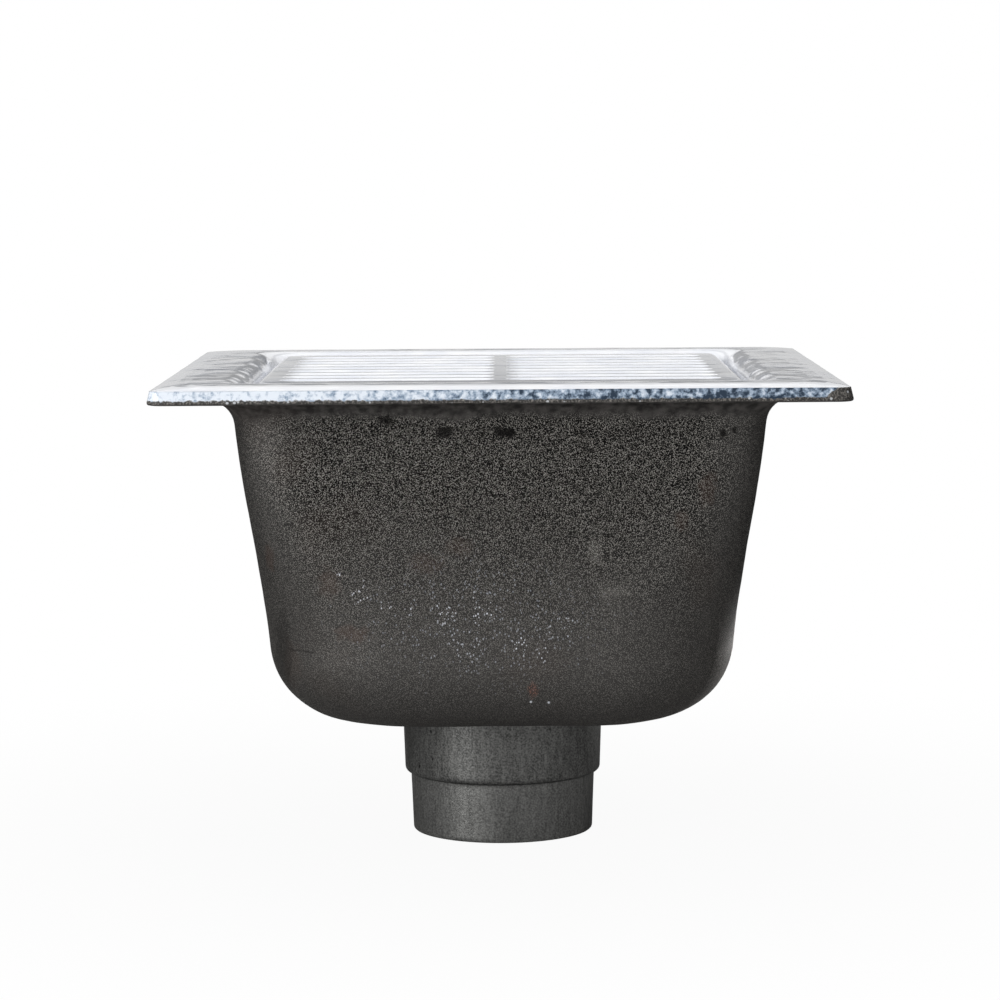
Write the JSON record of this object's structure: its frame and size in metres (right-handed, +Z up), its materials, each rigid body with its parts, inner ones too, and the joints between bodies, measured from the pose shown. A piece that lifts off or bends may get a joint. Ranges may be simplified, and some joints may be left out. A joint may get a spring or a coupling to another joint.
{
  "type": "floor drain",
  "caption": "Square cast-iron floor sink: flanged tapering tub with round outlet, white enamel inside, loose slotted grate and dome strainer; takes waste water at floor level.",
  "frame": {"origin": "centre of the outlet spigot's end face, which is the lowest point of the drain", "axes": "+Z up along the outlet axis to the flange, X and Y square to the flange's sides, with the grate's slots running along X"},
  "size_m": [0.3048, 0.3048, 0.221],
  "materials": {
    "coated_iron": "dark coated sand casting outside, white porcelain enamel on the flange top and inside",
    "white_enamel": "glossy white porcelain enamel on cast iron",
    "cast_aluminium": "plain as-cast"
  },
  "bodies": {
    "root": {"body": "coated_iron", "grate": "white_enamel", "dome_strainer": "cast_aluminium"}
  },
  "joints": []
}
